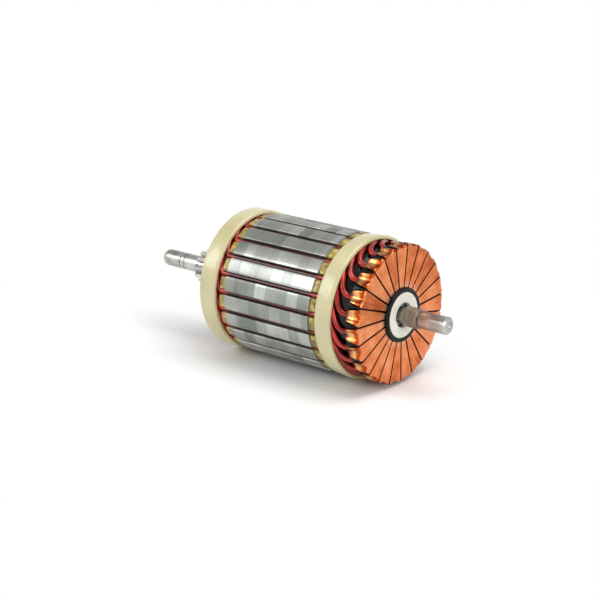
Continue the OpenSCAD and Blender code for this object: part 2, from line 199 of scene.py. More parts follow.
# Ground steel: bright, with fine rings left by the wheel. They are drawn 0.35 mm apart,
# wider than they are, so that they show and soften the reflection along the bar.
ground_steel, shader = new_material("ground_steel", Metallic=1.0)
place = add(ground_steel, "TexCoord").outputs["Object"]
grinding = noise(ground_steel, place, (2800, 60, 60), detail=2)
smears = noise(ground_steel, place, 180)
link(ground_steel, ramp(ground_steel, smears, (0.35, "#9d9c96"), (0.68, "#cfcfca")),
     shader, "Base Color")
link(ground_steel, ranged(ground_steel, grinding, 0, 1, 0.26, 0.44), shader, "Roughness")
relief(ground_steel, shader, grinding, 0.25, 0.06)

# Rough-turned steel: dull and brownish, with coarse feed marks and specks of rust-brown
# oil, so that it breaks the reflection of the journal beside it.
turned_steel, shader = new_material("rough_turned_steel", Metallic=0.8)
place = add(turned_steel, "TexCoord").outputs["Object"]
feed = noise(turned_steel, place, (1700, 420, 420))
link(turned_steel, ramp(turned_steel, feed, (0.3, "#6a6156"), (0.7, "#b4ad9f")),
     shader, "Base Color")
link(turned_steel, ranged(turned_steel, feed, 0, 1, 0.34, 0.6), shader, "Roughness")
relief(turned_steel, shader, feed, 0.7, 0.15)

pitch_r = PINION_MODULE * PINION_TEETH / 2
base_r = pitch_r * math.cos(PRESSURE_ANGLE)
tip_r = pitch_r + PINION_MODULE
root_r = pitch_r - DEDENDUM


def half_tooth(r):
    """Half the angle that a tooth takes at radius r, on its involute flanks."""
    def unwound(at):
        t = math.sqrt(max(0, (at / base_r) ** 2 - 1))
        return t - math.atan(t)
    return math.pi / 2 / PINION_TEETH + unwound(pitch_r) - unwound(r)


def tooth_outline(tip):
    """(radius, angle) of one tooth's points, whose corners are cut back to a tip radius."""
    flank = [base_r + (tip - base_r) * i / 4 for i in range(5)]
    foot = half_tooth(base_r) + TOOTH_FOOT
    left = [(root_r, -foot)] + [(r, -half_tooth(r)) for r in flank]
    space = math.tau / PINION_TEETH - 2 * foot
    right = [(r, -a) for r, a in reversed(left)]
    return left + right + [(root_r, foot + space * share) for share in (1 / 3, 2 / 3)]


nose = arc(DRIVE_TIP_X + NOSE_R, JOURNAL_R - NOSE_R, NOSE_R, 180, 90, 8)
grooves = []
for groove in OIL_GROOVES:
    x = DRIVE_TIP_X + groove
    grooves += [(x, JOURNAL_R), (x + OIL_GROOVE_SIDE, JOURNAL_R - OIL_GROOVE_DEPTH),
                (x + OIL_GROOVE_WIDTH - OIL_GROOVE_SIDE, JOURNAL_R - OIL_GROOVE_DEPTH),
                (x + OIL_GROOVE_WIDTH, JOURNAL_R)]
tooth_ends = [PINION_X, PINION_X + END_CHAMFER,
              PINION_X + PINION_LENGTH - END_CHAMFER, PINION_X + PINION_LENGTH]
body_x = PINION_X + PINION_LENGTH + PINION_GAP
step_x, runout_x = FACE_X + STEP_START, FACE_X + STEP_END
edge = EDGE_ROUND
profile = ([(DRIVE_TIP_X, 0)] + nose + grooves + [(PINION_X, JOURNAL_R)]
           + [(x, tip_r) for x in tooth_ends]
           + [(PINION_X + PINION_LENGTH, root_r), (body_x, root_r), (body_x, BODY_R - END_CHAMFER),
              (body_x + END_CHAMFER, BODY_R), (HUB_SHOULDER_X - edge, BODY_R),
              (HUB_SHOULDER_X, BODY_R - edge), (HUB_SHOULDER_X, SEAT_R),
              (FACE_X - FACE_RECESS, SEAT_R), (FACE_X - FACE_RECESS, NECK_R), (step_x, NECK_R)]
           + arc(step_x + edge, STEP_R - edge, edge, 180, 90, 3)
           + arc(runout_x - edge, STEP_R - edge, edge, 90, 0, 3)
           + [(runout_x, JOURNAL_R - RUNOUT_DEPTH),
              (runout_x + RUNOUT_WIDTH, JOURNAL_R - RUNOUT_DEPTH),
              (runout_x + RUNOUT_WIDTH + RUNOUT_SIDE, JOURNAL_R),
              (COMMUTATOR_TIP_X - END_CHAMFER, JOURNAL_R),
              (COMMUTATOR_TIP_X - 0.1, JOURNAL_R - END_CHAMFER + 0.1),
              (COMMUTATOR_TIP_X, JOURNAL_R - END_CHAMFER - 0.15),
              (COMMUTATOR_TIP_X, CENTRE_HOLE_R),
              (COMMUTATOR_TIP_X - CENTRE_HOLE_DEPTH, 0)])
bm = spun(profile, steps=PINION_TEETH * POINTS_PER_TOOTH)
# The four rings at the pinion take the outline of its teeth.
for x, tip in zip(tooth_ends, (tip_r - END_CHAMFER, tip_r, tip_r, tip_r - END_CHAMFER)):
    ring = [v for v in bm.verts
            if abs(v.co.x - x) < 1e-3 and math.hypot(v.co.y, v.co.z) > tip_r - 0.01]
    ring.sort(key=lambda v: math.atan2(v.co.y, v.co.z))
    outline = tooth_outline(tip)
    for i, vertex in enumerate(ring):
        tooth, point = divmod(i, POINTS_PER_TOOTH)
        r, angle = outline[point]
        angle += math.tau * tooth / PINION_TEETH - math.pi
        vertex.co = (x, r * math.sin(angle), r * math.cos(angle))
for face in bm.faces:
    x = face.calc_center_median().x
    face.material_index = int(step_x - 0.1 < x < runout_x + RUNOUT_WIDTH + 0.1)
finished(bm, "shaft_bar", [ground_steel, turned_steel], ["shaft"], sharp=28)

# ---- Core ----
# A stack of half-millimetre silicon steel laminations, pressed on the shaft and turned to
# size. Each tooth carries two lips that close its slots to a narrow mouth.
SLOTS = 23
PITCH = math.tau / SLOTS
SLOT_ANGLE = math.radians(7.1)
CORE_BACK_X, CORE_FRONT_X = (corner.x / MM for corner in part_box("core"))
CORE_R = 32.5
CORE_BORE_R = 7.02
SLOT_W = 3.14
MOUTH_W = 2.05
OUTER_SLOT_R, INNER_SLOT_R = 30.03, 27.03
LIP_ROUND = 0.35
RIM_POINTS = 5
PACKET = 6.2


def polar(x, r, angle):
    """A point at a station, at a radius and an angle from +Z towards -Y."""
    return Vector((x, -r * math.sin(angle), r * math.cos(angle)))


def slot_outline(width, mouth, rim_r, corner):
    """One slot's (across, up) points, from one rim corner down and up to the other."""
    half, lip = width / 2, mouth / 2
    low = [(half * math.cos(t), INNER_SLOT_R - half * math.sin(t))
           for t in (math.pi * i / 8 for i in range(9))]
    rise = math.sqrt(max(0, half ** 2 - lip ** 2))
    start = math.atan2(rise, lip)
    high = [(half * math.cos(t), OUTER_SLOT_R + half * math.sin(t))
            for t in (start * i / 4 for i in range(4, -1, -1))]
    rim = math.sqrt(rim_r ** 2 - (lip + corner) ** 2)
    rounded = [(lip + corner - corner * math.sin(t), rim - corner + corner * math.cos(t))
               for t in (math.pi / 2 * i / 3 for i in range(4))]
    side = rounded + high
    return side + low + [(-a, u) for a, u in reversed(side)]


def stack(x, length, width, mouth, rim_r, corner):
    """A slotted disc or stack between two stations."""
    bm = bmesh.new()
    outer = []
    for i in range(SLOTS):
        centre = SLOT_ANGLE + i * PITCH
        for across, up in slot_outline(width, mouth, rim_r, corner):
            outer.append(polar(x, math.hypot(across, up), centre - math.atan2(across, up)))
        gap = math.asin((mouth / 2 + corner) / rim_r)
        for k in range(1, RIM_POINTS + 1):
            share = k / (RIM_POINTS + 1)
            outer.append(polar(x, rim_r, centre + gap + (PITCH - 2 * gap) * share))
    bore = [polar(x, CORE_BORE_R, PITCH * i / 2) for i in range(2 * SLOTS)]
    for loop in (outer, bore):
        verts = [bm.verts.new(p) for p in loop]
        for a, b in zip(verts, verts[1:] + verts[:1]):
            bm.edges.new((a, b))
    bmesh.ops.triangle_fill(bm, edges=bm.edges[:], use_beauty=True, normal=(1, 0, 0))
    pulled = bmesh.ops.extrude_face_region(bm, geom=bm.faces[:])["geom"]
    moved = [v for v in pulled if isinstance(v, bmesh.types.BMVert)]
    bmesh.ops.translate(bm, vec=(length, 0, 0), verts=moved)
    bmesh.ops.recalc_face_normals(bm, faces=bm.faces)
    return bm


def round_shaft(material):
    """Sockets for a point's place, its station, its angle round the shaft and its radius."""
    place = add(material, "TexCoord").outputs["Object"]
    axes = add(material, "SeparateXYZ", {0: place})
    y, z = axes.outputs["Y"], axes.outputs["Z"]
    around = maths(material, "ARCTAN2", maths(material, "MULTIPLY", y, -1.0), z)
    out = maths(material, "SQRT", maths(material, "ADD", maths(material, "MULTIPLY", y, y),
                                        maths(material, "MULTIPLY", z, z)))
    return place, axes.outputs["X"], around, out


# Turned lamination steel: silvery, crossed by the edges of the sheets, which are drawn
# 0.7 mm apart so that they show. Clean and dull packets change from tooth to tooth, and
# clouds of old varnish lie over both.
core_steel, shader = new_material("turned_laminations", Metallic=0.9, Anisotropic=0.3)
place, along, around, _ = round_shaft(core_steel)
tooth = maths(core_steel, "FLOOR", maths(core_steel, "MULTIPLY", maths(
    core_steel, "SUBTRACT", around, SLOT_ANGLE), 1 / PITCH))
drift = add(core_steel, "TexWhiteNoise", {"W": tooth}, noise_dimensions="1D").outputs["Value"]
packet = maths(core_steel, "FLOOR", maths(core_steel, "ADD", drift, maths(
    core_steel, "MULTIPLY", along, 1 / (PACKET * MM))))
cell = add(core_steel, "CombineXYZ", {"X": packet, "Y": tooth}).outputs[0]
chance = add(core_steel, "TexWhiteNoise", {"Vector": cell}, noise_dimensions="2D")
packet_tone = chance.outputs["Value"]
sheet_edges = noise(core_steel, place, (1430, 30, 30), detail=1)
smears = noise(core_steel, place, 55, detail=4)
shade = maths(core_steel, "ADD", maths(core_steel, "MULTIPLY", packet_tone, 0.35),
              maths(core_steel, "MULTIPLY", smears, 0.65))
tone = ramp(core_steel, shade, (0.25, "#868c85"), (0.5, "#abaea8"), (0.75, "#cdd0cb"))
lines = ranged(core_steel, sheet_edges, 0.3, 0.7, 0.86, 1.06)
colour = add(core_steel, "VectorMath", {0: tone, "Scale": lines}, operation="SCALE").outputs[0]
link(core_steel, colour, shader, "Base Color")
link(core_steel, ranged(core_steel, shade, 0.25, 0.75, 0.5, 0.34), shader, "Roughness")
relief(core_steel, shader, sheet_edges, 0.35, 0.12)

bm = stack(CORE_BACK_X, CORE_FRONT_X - CORE_BACK_X, SLOT_W, MOUTH_W, CORE_R, LIP_ROUND)
finished(bm, "lamination_stack", [core_steel], ["core"])

# ---- End insulation ----
# A disc of yellow epoxy glass at each end of the stack, cut to the same teeth, keeps the
# wires off the sharp laminations. Varnish pools round its blocks.
INSULATOR_R = 32.0
INSULATOR_ROUND = 0.6
INSULATOR_LIP = 0.15
INSULATOR_BEVEL = 0.55
RIM_ANGLE = 1.2

# Varnished epoxy glass: mustard yellow where it is clean and brown in the pools, with a
# wet gloss, so that the blocks stand out from the grey teeth.
insulation, shader = new_material("varnished_epoxy_glass", Roughness=0.45, Coat_Weight=0.5,
                                  Coat_Roughness=0.15)
place = add(insulation, "TexCoord").outputs["Object"]
pools = noise(insulation, place, 420, detail=4)
link(insulation, ramp(insulation, pools, (0.36, "#6b5c1f"), (0.52, "#a8953c"), (0.68, "#cbb862")),
     shader, "Base Color")
relief(insulation, shader, pools, 0.6, 0.3)

for node in ("drive_end_insulator", "commutator_end_insulator"):
    low, high = (corner.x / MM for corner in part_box(node))
    bm = stack(low, high - low, SLOT_W, SLOT_W - 2 * INSULATOR_LIP, INSULATOR_R, INSULATOR_ROUND)
    rims = [e for e in bm.edges if not e.is_boundary and e.calc_face_angle(0) > RIM_ANGLE
            and min(math.hypot(v.co.y, v.co.z) for v in e.verts) > OUTER_SLOT_R]
    bmesh.ops.bevel(bm, geom=rims, offset=INSULATOR_BEVEL, segments=3, profile=0.5, affect="EDGES",
                    material=-1, clamp_overlap=True)
    finished(bm, node + "_disc", [insulation], [node], sharp=60)

# Slot liners stay as the frame has them: folded paper, painted dark brown in the slots for the
# varnish soaked in there and as painted shade of the slots, and pale where it stands out at the
# ends.
liner_paper, shader = new_material("varnished_slot_paper", Roughness=0.55)
place, along, _, _ = round_shaft(liner_paper)
middle = (CORE_BACK_X + CORE_FRONT_X) / 2 * MM
from_middle = maths(liner_paper, "ABSOLUTE", maths(liner_paper, "SUBTRACT", along, middle))
half_core = (CORE_FRONT_X - CORE_BACK_X) / 2 * MM
clean = ranged(liner_paper, from_middle, half_core - 0.8 * MM, half_core + 0.5 * MM, 0, 1)
# Painted shade: the paper inside the slots is painted dark brown, together with the varnish soaked
# in.
soaked_and_shaded = ramp(liner_paper, noise(liner_paper, place, 260), (0, "#2c1712"), (1, "#6d4034"))
link(liner_paper, mixed(liner_paper, clean, soaked_and_shaded, linear("#cdbd95")), shader, "Base Color")
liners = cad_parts["slot_liners"]
liners.data.materials.clear()
liners.data.materials.append(liner_paper)

# ---- Winding ----
# Twenty-three wave coils of one thick enamelled wire each: two layers in every slot, a
# V-shaped turn under the drive-end band, and two leads that slant under two tangs.
WIRE_R = 1.27
COIL_SPAN, SEGMENT_SPAN = 6, 11
SEGMENT_OFFSET = math.radians(-6.4)
TANG_REACH = 7.2
PLATE_T = 3.2
OUTER_LEAD_R, INNER_LEAD_R = 28.45, 25.45
LEAD_SWEEP = math.radians(5)
TANG_STRAIGHT, TANG_BEND, SLOT_BEND, TURN_BEND = 2.8, 5.0, 2.5, 3.5
END_TURN_SWEEP = math.radians(5.1)
NOSE_SWEEP = math.radians(6.5)
NOSE_ROUND = 0.6
WIRE_SIDES = 14
MID_SLOT_R = (OUTER_SLOT_R + INNER_SLOT_R) / 2
FRONT_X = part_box("commutator_end_insulator")[1].x / MM
REAR_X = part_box("drive_end_insulator")[0].x / MM
LEAD_RUN = FACE_X - TANG_REACH - FRONT_X
OUTER_SWING = SEGMENT_OFFSET + math.ceil(COIL_SPAN / 2) * PITCH
INNER_SWING = OUTER_SWING + (COIL_SPAN - SEGMENT_SPAN) * PITCH
BEND_END = LEAD_RUN - TANG_STRAIGHT
LEAD_SLANT = OUTER_SWING / LEAD_SWEEP
SLOT_STRAIGHT = BEND_END - LEAD_SLANT - (TANG_BEND + SLOT_BEND) / 2
HALF_TURN = COIL_SPAN * PITCH / 2
BEND_SWEEP = END_TURN_SWEEP * TURN_BEND / 2


def slant_done(v):
    """Share of a lead's swing that lies behind it, v millimetres from the disc."""
    w = v - SLOT_STRAIGHT
    if w < 0:
        done = 0
    elif w < SLOT_BEND:
        done = w * w / (2 * SLOT_BEND)
    elif v < BEND_END - TANG_BEND:
        done = w - SLOT_BEND / 2
    else:
        done = LEAD_SLANT - max(0, BEND_END - v) ** 2 / (2 * TANG_BEND)
    return done / LEAD_SLANT


def lead_sink(v):
    """Share of the way from the slot's radius down to the tang's."""
    t = max(0, 1 - (LEAD_RUN - v) / (TANG_BEND + TANG_STRAIGHT))
    return t * t * (3 - 2 * t)


def lead(swing, slot_r, end_r, steps=26):
    """A lead from its slot to its tang, as (station, angle, radius)."""
    course = [(FRONT_X + v, swing * slant_done(v), slot_r + (end_r - slot_r) * lead_sink(v))
              for v in (LEAD_RUN * i / steps for i in range(steps + 1))]
    return course + [(FACE_X - PLATE_T - 0.05, swing, end_r)]


def end_turn(way, slot_r, nose_r, steps=22):
    """Half an end turn, from its slot to the nose where the two layers meet."""
    def depth(angle):
        return math.hypot(NOSE_ROUND, (HALF_TURN - angle) / END_TURN_SWEEP)

    course = [(REAR_X, 0, slot_r), (REAR_X - TURN_BEND / 4, way * BEND_SWEEP / 16, slot_r),
              (REAR_X - TURN_BEND / 2, way * BEND_SWEEP / 4, slot_r),
              (REAR_X - TURN_BEND * 3 / 4, way * BEND_SWEEP * 9 / 16, slot_r)]
    for i in range(steps):
        angle = BEND_SWEEP + (HALF_TURN - BEND_SWEEP) * i / steps
        x = REAR_X - TURN_BEND - depth(BEND_SWEEP) + depth(angle)
        t = min(1, (HALF_TURN - angle) / NOSE_SWEEP)
        course.append((x, way * angle, nose_r + (slot_r - nose_r) * t * (3 - t * t) / 2))
    return course


def swung(course, angle):
    """A course turned round the shaft."""
    return [(x, a + angle, r) for x, a, r in course]


def wire(course, radius):
    """A round wire along a course, made by pulling one ring from station to station."""
    path = [polar(x, r, a) for x, a, r in course]

    def standing(i):
        ahead = (path[min(i + 1, len(path) - 1)] - path[max(i - 1, 0)]).normalized()
        side = ahead.cross(Vector((0, path[i].y, path[i].z))).normalized()
        up = side.cross(ahead)
        return Matrix.Translation(path[i]) @ Matrix((side, up, ahead)).transposed().to_4x4()

    bm = bmesh.new()
    ring = bmesh.ops.create_circle(bm, cap_ends=True, radius=radius, segments=WIRE_SIDES)["verts"]
    bmesh.ops.transform(bm, matrix=standing(0), verts=ring)
    end = bm.faces[:]
    for i in range(1, len(path)):
        pulled = bmesh.ops.extrude_face_region(bm, geom=end)["geom"]
        ring = [v for v in pulled if isinstance(v, bmesh.types.BMVert)]
        if i > 1:
            bmesh.ops.delete(bm, geom=end, context="FACES_ONLY")
        end = [f for f in pulled if isinstance(f, bmesh.types.BMFace)]
        bmesh.ops.transform(bm, matrix=standing(i) @ standing(i - 1).inverted(), verts=ring)
    bmesh.ops.recalc_face_normals(bm, faces=bm.faces)
    return bm


# Enamelled copper wire: a deep, clear red film with a wet gloss. In the slots it is painted
# dark maroon, for the varnish pooled there and as painted shade of the wire lying deep in
# the slot mouths.
enamel, shader = new_material("red_enamelled_wire", Roughness=0.32, Metallic=0.5,
                              Coat_Weight=0.5, Coat_Roughness=0.08)
place, along, _, _ = round_shaft(enamel)
runs = noise(enamel, place, 170)
film = ramp(enamel, runs, (0.32, "#7c150f"), (0.66, "#bb2c1f"))
# Painted shade: the wire in the slots is painted near-black maroon, together with the varnish
# pooled there.
pooled_and_shaded = ramp(enamel, runs, (0.32, "#220a09"), (0.66, "#561f1e"))
from_middle = maths(enamel, "ABSOLUTE", maths(enamel, "SUBTRACT", along, middle))
in_slot = ranged(enamel, from_middle, half_core - 2 * MM, half_core + 2 * MM, 1, 0)
link(enamel, mixed(enamel, in_slot, film, pooled_and_shaded), shader, "Base Color")
relief(enamel, shader, runs, 0.25, 0.3)

nose_r = MID_SLOT_R
inner_side = -COIL_SPAN * PITCH
rear_x = REAR_X - TURN_BEND - math.hypot(NOSE_ROUND, (HALF_TURN - BEND_SWEEP) / END_TURN_SWEEP)
course = (lead(OUTER_SWING, OUTER_SLOT_R, OUTER_LEAD_R)[::-1]
          + end_turn(-1, OUTER_SLOT_R, nose_r)
          + [(rear_x + NOSE_ROUND, -HALF_TURN, nose_r)]
          + swung(end_turn(1, INNER_SLOT_R, nose_r)[::-1], inner_side)
          + swung(lead(INNER_SWING, INNER_SLOT_R, INNER_LEAD_R), inner_side))
for i in range(SLOTS):
    bm = wire(course, WIRE_R)
    bmesh.ops.rotate(bm, matrix=Matrix.Rotation(SLOT_ANGLE + i * PITCH, 3, "X"), verts=bm.verts)
    finished(bm, f"wave_coil_{i + 1:02d}", [enamel], [f"coil_{i + 1:02d}"])

# ---- Layer film ----
# One sleeve of black varnished film lies between the two layers of leads. It is slipped
# over the inner leads before the outer ones are bent down on it, and varnish holds it.
SLEEVE_FILM_T = 0.12
FIN_SLOPE = 1.8
FILM_GAP = 0.25
FILM_ROWS = 24

# Black varnished film: nearly black, with small glints where its varnish has set unevenly.
# Its near-black colour is also painted shade of the gaps between the leads, so that the red
# leads stand out on a dark ground.
film_and_gap_shade, shader = new_material("black_film_and_gap_shade", Roughness=0.2,
                                  Specular_IOR_Level=0.3, Coat_Weight=0.2, Coat_Roughness=0.05)
place = add(film_and_gap_shade, "TexCoord").outputs["Object"]
stain = noise(film_and_gap_shade, place, 300)
# Painted shade: the film's near-black colour also stands for the shade in the gaps between the
# leads.
link(film_and_gap_shade, ramp(film_and_gap_shade, stain, (0.3, "#040605"), (0.7, "#140d0b")),
     shader, "Base Color")
relief(film_and_gap_shade, shader, noise(film_and_gap_shade, place, 240), 0.5, 0.3)

film_end = LEAD_RUN - FIN_SLOPE - FILM_GAP
stations = [film_end * (0.002 + 0.998 * i / FILM_ROWS) for i in range(FILM_ROWS + 1)]
skin = [(FRONT_X + v, MID_SLOT_R + (OUTER_LEAD_R - OUTER_SLOT_R) * lead_sink(v))
        for v in stations]
half_film = SLEEVE_FILM_T / 2
loop = ([(x, r + half_film) for x, r in skin] + [(x, r - half_film) for x, r in reversed(skin)]
        + [(skin[0][0], skin[0][1] + half_film)])
bm = spun(loop, steps=SLOTS * 6)
finished(bm, "layer_film", [film_and_gap_shade], ["layer_sleeve"])

# ---- Bands ----
# Resin-soaked tape is wound over the end turns and the leads, cured and dressed, and
# holds them against flying out. It is ivory, smooth and softly domed.
BAND_BORE_R = 31.43
BAND_R = 33.03
BAND_TAPER = 0.6
BAND_DOME = 1.1

# Ivory band resin: a waxy surface that light sinks into, with brownish specks of dust and
# a soft gloss, so that each band looks cast round the wires.
band_resin, shader = new_material("ivory_band_resin", Subsurface_Weight=0.15,
                                  Subsurface_Scale=0.002, Coat_Weight=0.6, Coat_Roughness=0.12)
place = add(band_resin, "TexCoord").outputs["Object"]
clouds = noise(band_resin, place, 45)
specks = noise(band_resin, place, 900, detail=2)
tone = ramp(band_resin, clouds, (0.3, "#c2b987"), (0.7, "#dad2a8"))
dusty = ranged(band_resin, specks, 0.66, 0.74, 0, 0.5)
link(band_resin, mixed(band_resin, dusty, tone, linear("#8f8450")), shader, "Base Color")
link(band_resin, ranged(band_resin, clouds, 0, 1, 0.28, 0.42), shader, "Roughness")
relief(band_resin, shader, noise(band_resin, place, (260, 60, 60)), 0.5, 0.4)

for node, taper in (("drive_end_band", 0), ("commutator_end_band", BAND_TAPER)):
    low, high = (corner.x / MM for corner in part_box(node))
    back_r = BAND_R - taper
    dome = ([(low, BAND_BORE_R)] + arc(low + BAND_DOME, back_r - BAND_DOME, BAND_DOME, 180, 95)
            + arc(high - BAND_DOME, BAND_R - BAND_DOME, BAND_DOME, 88, 0)
            + [(high, BAND_BORE_R), (low, BAND_BORE_R)])
    bm = spun(dome, steps=128)
    finished(bm, node + "_ring", [band_resin], [node], sharp=50)

# ---- Commutator moulding ----
# Black phenolic moulding grips the segments from behind. It shows as a collar round the
# washer and as glossy ribs between the tangs.
COPPER_BORE_R = 12.6
WASHER_R = 10.4
SLEEVE_R = 12.0
HUB_RIM_R = 24.05
HUB_RIM_BACK_X = FACE_X - 13
SEGMENT_ANGLE = SLOT_ANGLE + SEGMENT_OFFSET
TANG_UNDER_R = 29.8
FACE_R = 31.1
FIN_TOP_R = FACE_R + 0.2
TANG_W, TANG_END_W = 6.8, 4.6
COLLAR_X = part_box("commutator_hub")[1].x / MM
WASHER_BACK_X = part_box("collar_washer")[0].x / MM
CLEAR = 0.02
COLLAR_ROUND, COLLAR_LIP_ROUND = 0.6, 0.2
HUB_CHAMFER = 1.0
RIB_GAP = 0.25
RIB_SLOPE_TAPER = 0.8
RIB_ROUND = 0.35
WEB_HALF, WEB_SUNK = 0.37, 0.7

# Black phenolic moulding: near black with the fine grain of its filler and a low gloss,
# so that it parts one copper tang from the next.
moulding, shader = new_material("black_phenolic_moulding", Roughness=0.32,
                                Specular_IOR_Level=0.18)
place = add(moulding, "TexCoord").outputs["Object"]
filler = noise(moulding, place, 900, detail=2)
link(moulding, ramp(moulding, filler, (0, "#040605"), (1, "#101612")), shader, "Base Color")
relief(moulding, shader, filler, 0.3, 0.1)

plate_back_x = FACE_X - PLATE_T
hub = spun([(HUB_SHOULDER_X, SEAT_R + CLEAR), (HUB_SHOULDER_X, SLEEVE_R),
            (HUB_RIM_BACK_X, SLEEVE_R), (HUB_RIM_BACK_X, HUB_RIM_R - HUB_CHAMFER),
            (HUB_RIM_BACK_X + HUB_CHAMFER, HUB_RIM_R), (plate_back_x - CLEAR, HUB_RIM_R),
            (plate_back_x - CLEAR, COPPER_BORE_R - CLEAR), (FACE_X + 0.1, COPPER_BORE_R - CLEAR)]
           + arc(COLLAR_X - COLLAR_ROUND, COPPER_BORE_R - COLLAR_ROUND - 0.1, COLLAR_ROUND,
                 70, 0, 4)
           + arc(COLLAR_X - COLLAR_LIP_ROUND, WASHER_R + CLEAR + COLLAR_LIP_ROUND,
                 COLLAR_LIP_ROUND, 0, -90, 3)
           + [(WASHER_BACK_X - CLEAR, WASHER_R + CLEAR), (WASHER_BACK_X - CLEAR, SEAT_R + CLEAR),
              (HUB_SHOULDER_X, SEAT_R + CLEAR)])
# Each rib is a thin web in the saw cut, a full-width rib between two tangs and a slope
# down behind them, given as (station, half width, radius).
end_x = FACE_X - TANG_REACH
half_front, half_back = (
    TANG_UNDER_R * math.sin(PITCH / 2) - width / 2 * math.cos(PITCH / 2) - RIB_GAP
    for width in (TANG_W, TANG_END_W))
sections = [(FACE_X - WEB_SUNK, WEB_HALF - 0.01, FIN_TOP_R),
            (plate_back_x, WEB_HALF + 0.01, FIN_TOP_R),
            (plate_back_x - RIB_GAP, half_front, FIN_TOP_R), (end_x, half_back, FIN_TOP_R),
            (end_x - FIN_SLOPE, half_back * RIB_SLOPE_TAPER, HUB_RIM_R + 0.3)]
foot_r = HUB_RIM_R - HUB_CHAMFER
for i in range(SLOTS):
    rib = bmesh.new()
    rows = [[rib.verts.new((x, w, foot_r)), rib.verts.new((x, w, r)),
             rib.verts.new((x, -w, r)), rib.verts.new((x, -w, foot_r))]
            for x, w, r in sections]
    for before, after in zip(rows, rows[1:]):
        for k in range(4):
            rib.faces.new((before[k], before[k - 1], after[k - 1], after[k]))
    rib.faces.new(rows[0])
    rib.faces.new(rows[-1][::-1])
    bmesh.ops.recalc_face_normals(rib, faces=rib.faces)
    tops = [e for e in rib.edges if min(v.co.z for v in e.verts) > HUB_RIM_R]
    bmesh.ops.bevel(rib, geom=tops, offset=RIB_ROUND, segments=3, profile=0.5,
                    affect="EDGES", material=-1, clamp_overlap=True)
    bmesh.ops.rotate(rib, matrix=Matrix.Rotation(SEGMENT_ANGLE + (i + 0.5) * PITCH, 3, "X"),
                     verts=rib.verts)
    scrap = bpy.data.meshes.new("rib")
    rib.to_mesh(scrap)
    rib.free()
    hub.from_mesh(scrap)
    bpy.data.meshes.remove(scrap)
finished(hub, "segment_moulding", [moulding], ["commutator_hub"])

# ---- Collar washer ----
# A pale nylon washer, moulded to size, is pushed into the collar. It lies loose in it and
# takes the end thrust of the armature.
WASHER_BORE_R = 5.65
WASHER_ROUND = 0.3

# Pale nylon: off-white and slightly waxy, the one light ring inside the black collar.
washer_nylon, shader = new_material("pale_nylon", Roughness=0.4, Subsurface_Weight=0.2,
                                    Subsurface_Scale=0.001)
place = add(washer_nylon, "TexCoord").outputs["Object"]
wear = noise(washer_nylon, place, 300)
link(washer_nylon, ramp(washer_nylon, wear, (0, "#d2d0c0"), (1, "#ebe9de")), shader, "Base Color")
relief(washer_nylon, shader, wear, 0.1, 0.1)
bm = spun([(WASHER_BACK_X, WASHER_BORE_R), (WASHER_BACK_X, WASHER_R)]
          + arc(COLLAR_X - WASHER_ROUND, WASHER_R - WASHER_ROUND, WASHER_ROUND, 90, 0, 4)
          + arc(COLLAR_X - WASHER_ROUND, WASHER_BORE_R + WASHER_ROUND, WASHER_ROUND, 0, -90, 4)
          + [(WASHER_BACK_X, WASHER_BORE_R)])
finished(bm, "thrust_washer", [washer_nylon], ["collar_washer"])

# ---- Commutator segments ----
# Twenty-three copper segments, stamped in one ring, moulded and then sawn apart. Each has
# a tang that is folded back over two wires and fused to them by a hot, round electrode.
CUT_W = 0.85
TANG_T = 1.9
KNEE = 1.3
TANG_ROUND = 1.2
ELECTRODE_R = 2.5
TROUGH_DEPTH = 1.0
TROUGH_LIP = 0.35
CUT_EDGE = 0.12
FACE_EDGE = 0.5
RIM_DEPTH = 1.5
TANG_GAP = 0.2
COLUMNS = 22

# Turned copper: salmon, streaked from the collar outwards by the brushes' dust, with a
# tone of its own in each segment and a paler ring that the brushes never reach.
face_copper, shader = new_material("turned_copper_face", Metallic=1.0)
place, _, around, out = round_shaft(face_copper)
segment = maths(face_copper, "FLOOR", maths(face_copper, "ADD", 0.5, maths(
    face_copper, "MULTIPLY", maths(face_copper, "SUBTRACT", around, SEGMENT_ANGLE), 1 / PITCH)))
own = add(face_copper, "TexWhiteNoise", {"W": segment}, noise_dimensions="1D").outputs["Value"]
across = add(face_copper, "CombineXYZ", {"X": around, "Y": out}).outputs[0]
streaks = noise(face_copper, across, (26, 90, 1), detail=4)
patches = noise(face_copper, place, 120, detail=3)
shade = maths(face_copper, "ADD", maths(face_copper, "MULTIPLY", streaks, 0.3), maths(
    face_copper, "ADD", maths(face_copper, "MULTIPLY", patches, 0.5),
    maths(face_copper, "MULTIPLY", own, 0.2)))
worn = ramp(face_copper, shade, (0.34, "#c0602f"), (0.5, "#e48550"), (0.68, "#f4a474"))
clean = ranged(face_copper, out, 13 * MM, 16 * MM, 0.6, 0)
link(face_copper, mixed(face_copper, clean, worn, linear("#f2b48e")), shader, "Base Color")
link(face_copper, ranged(face_copper, shade, 0.36, 0.66, 0.46, 0.34), shader, "Roughness")

# Fused copper: the electrode's heat has tinted each tang, painted from red by the face,
# through gold, to brown at its end. The dark red by the face is also painted shade of the
# trough there, and the gold a painted highlight. The heat has left the surface smooth,
# wavy and bright.
fused_copper, shader = new_material("fused_copper", Metallic=1.0, Roughness=0.3)
place, along, _, _ = round_shaft(fused_copper)
waves = noise(fused_copper, place, 260, detail=2)
reached = ranged(fused_copper, along, (FACE_X - TANG_REACH) * MM, FACE_X * MM, 0, 1)
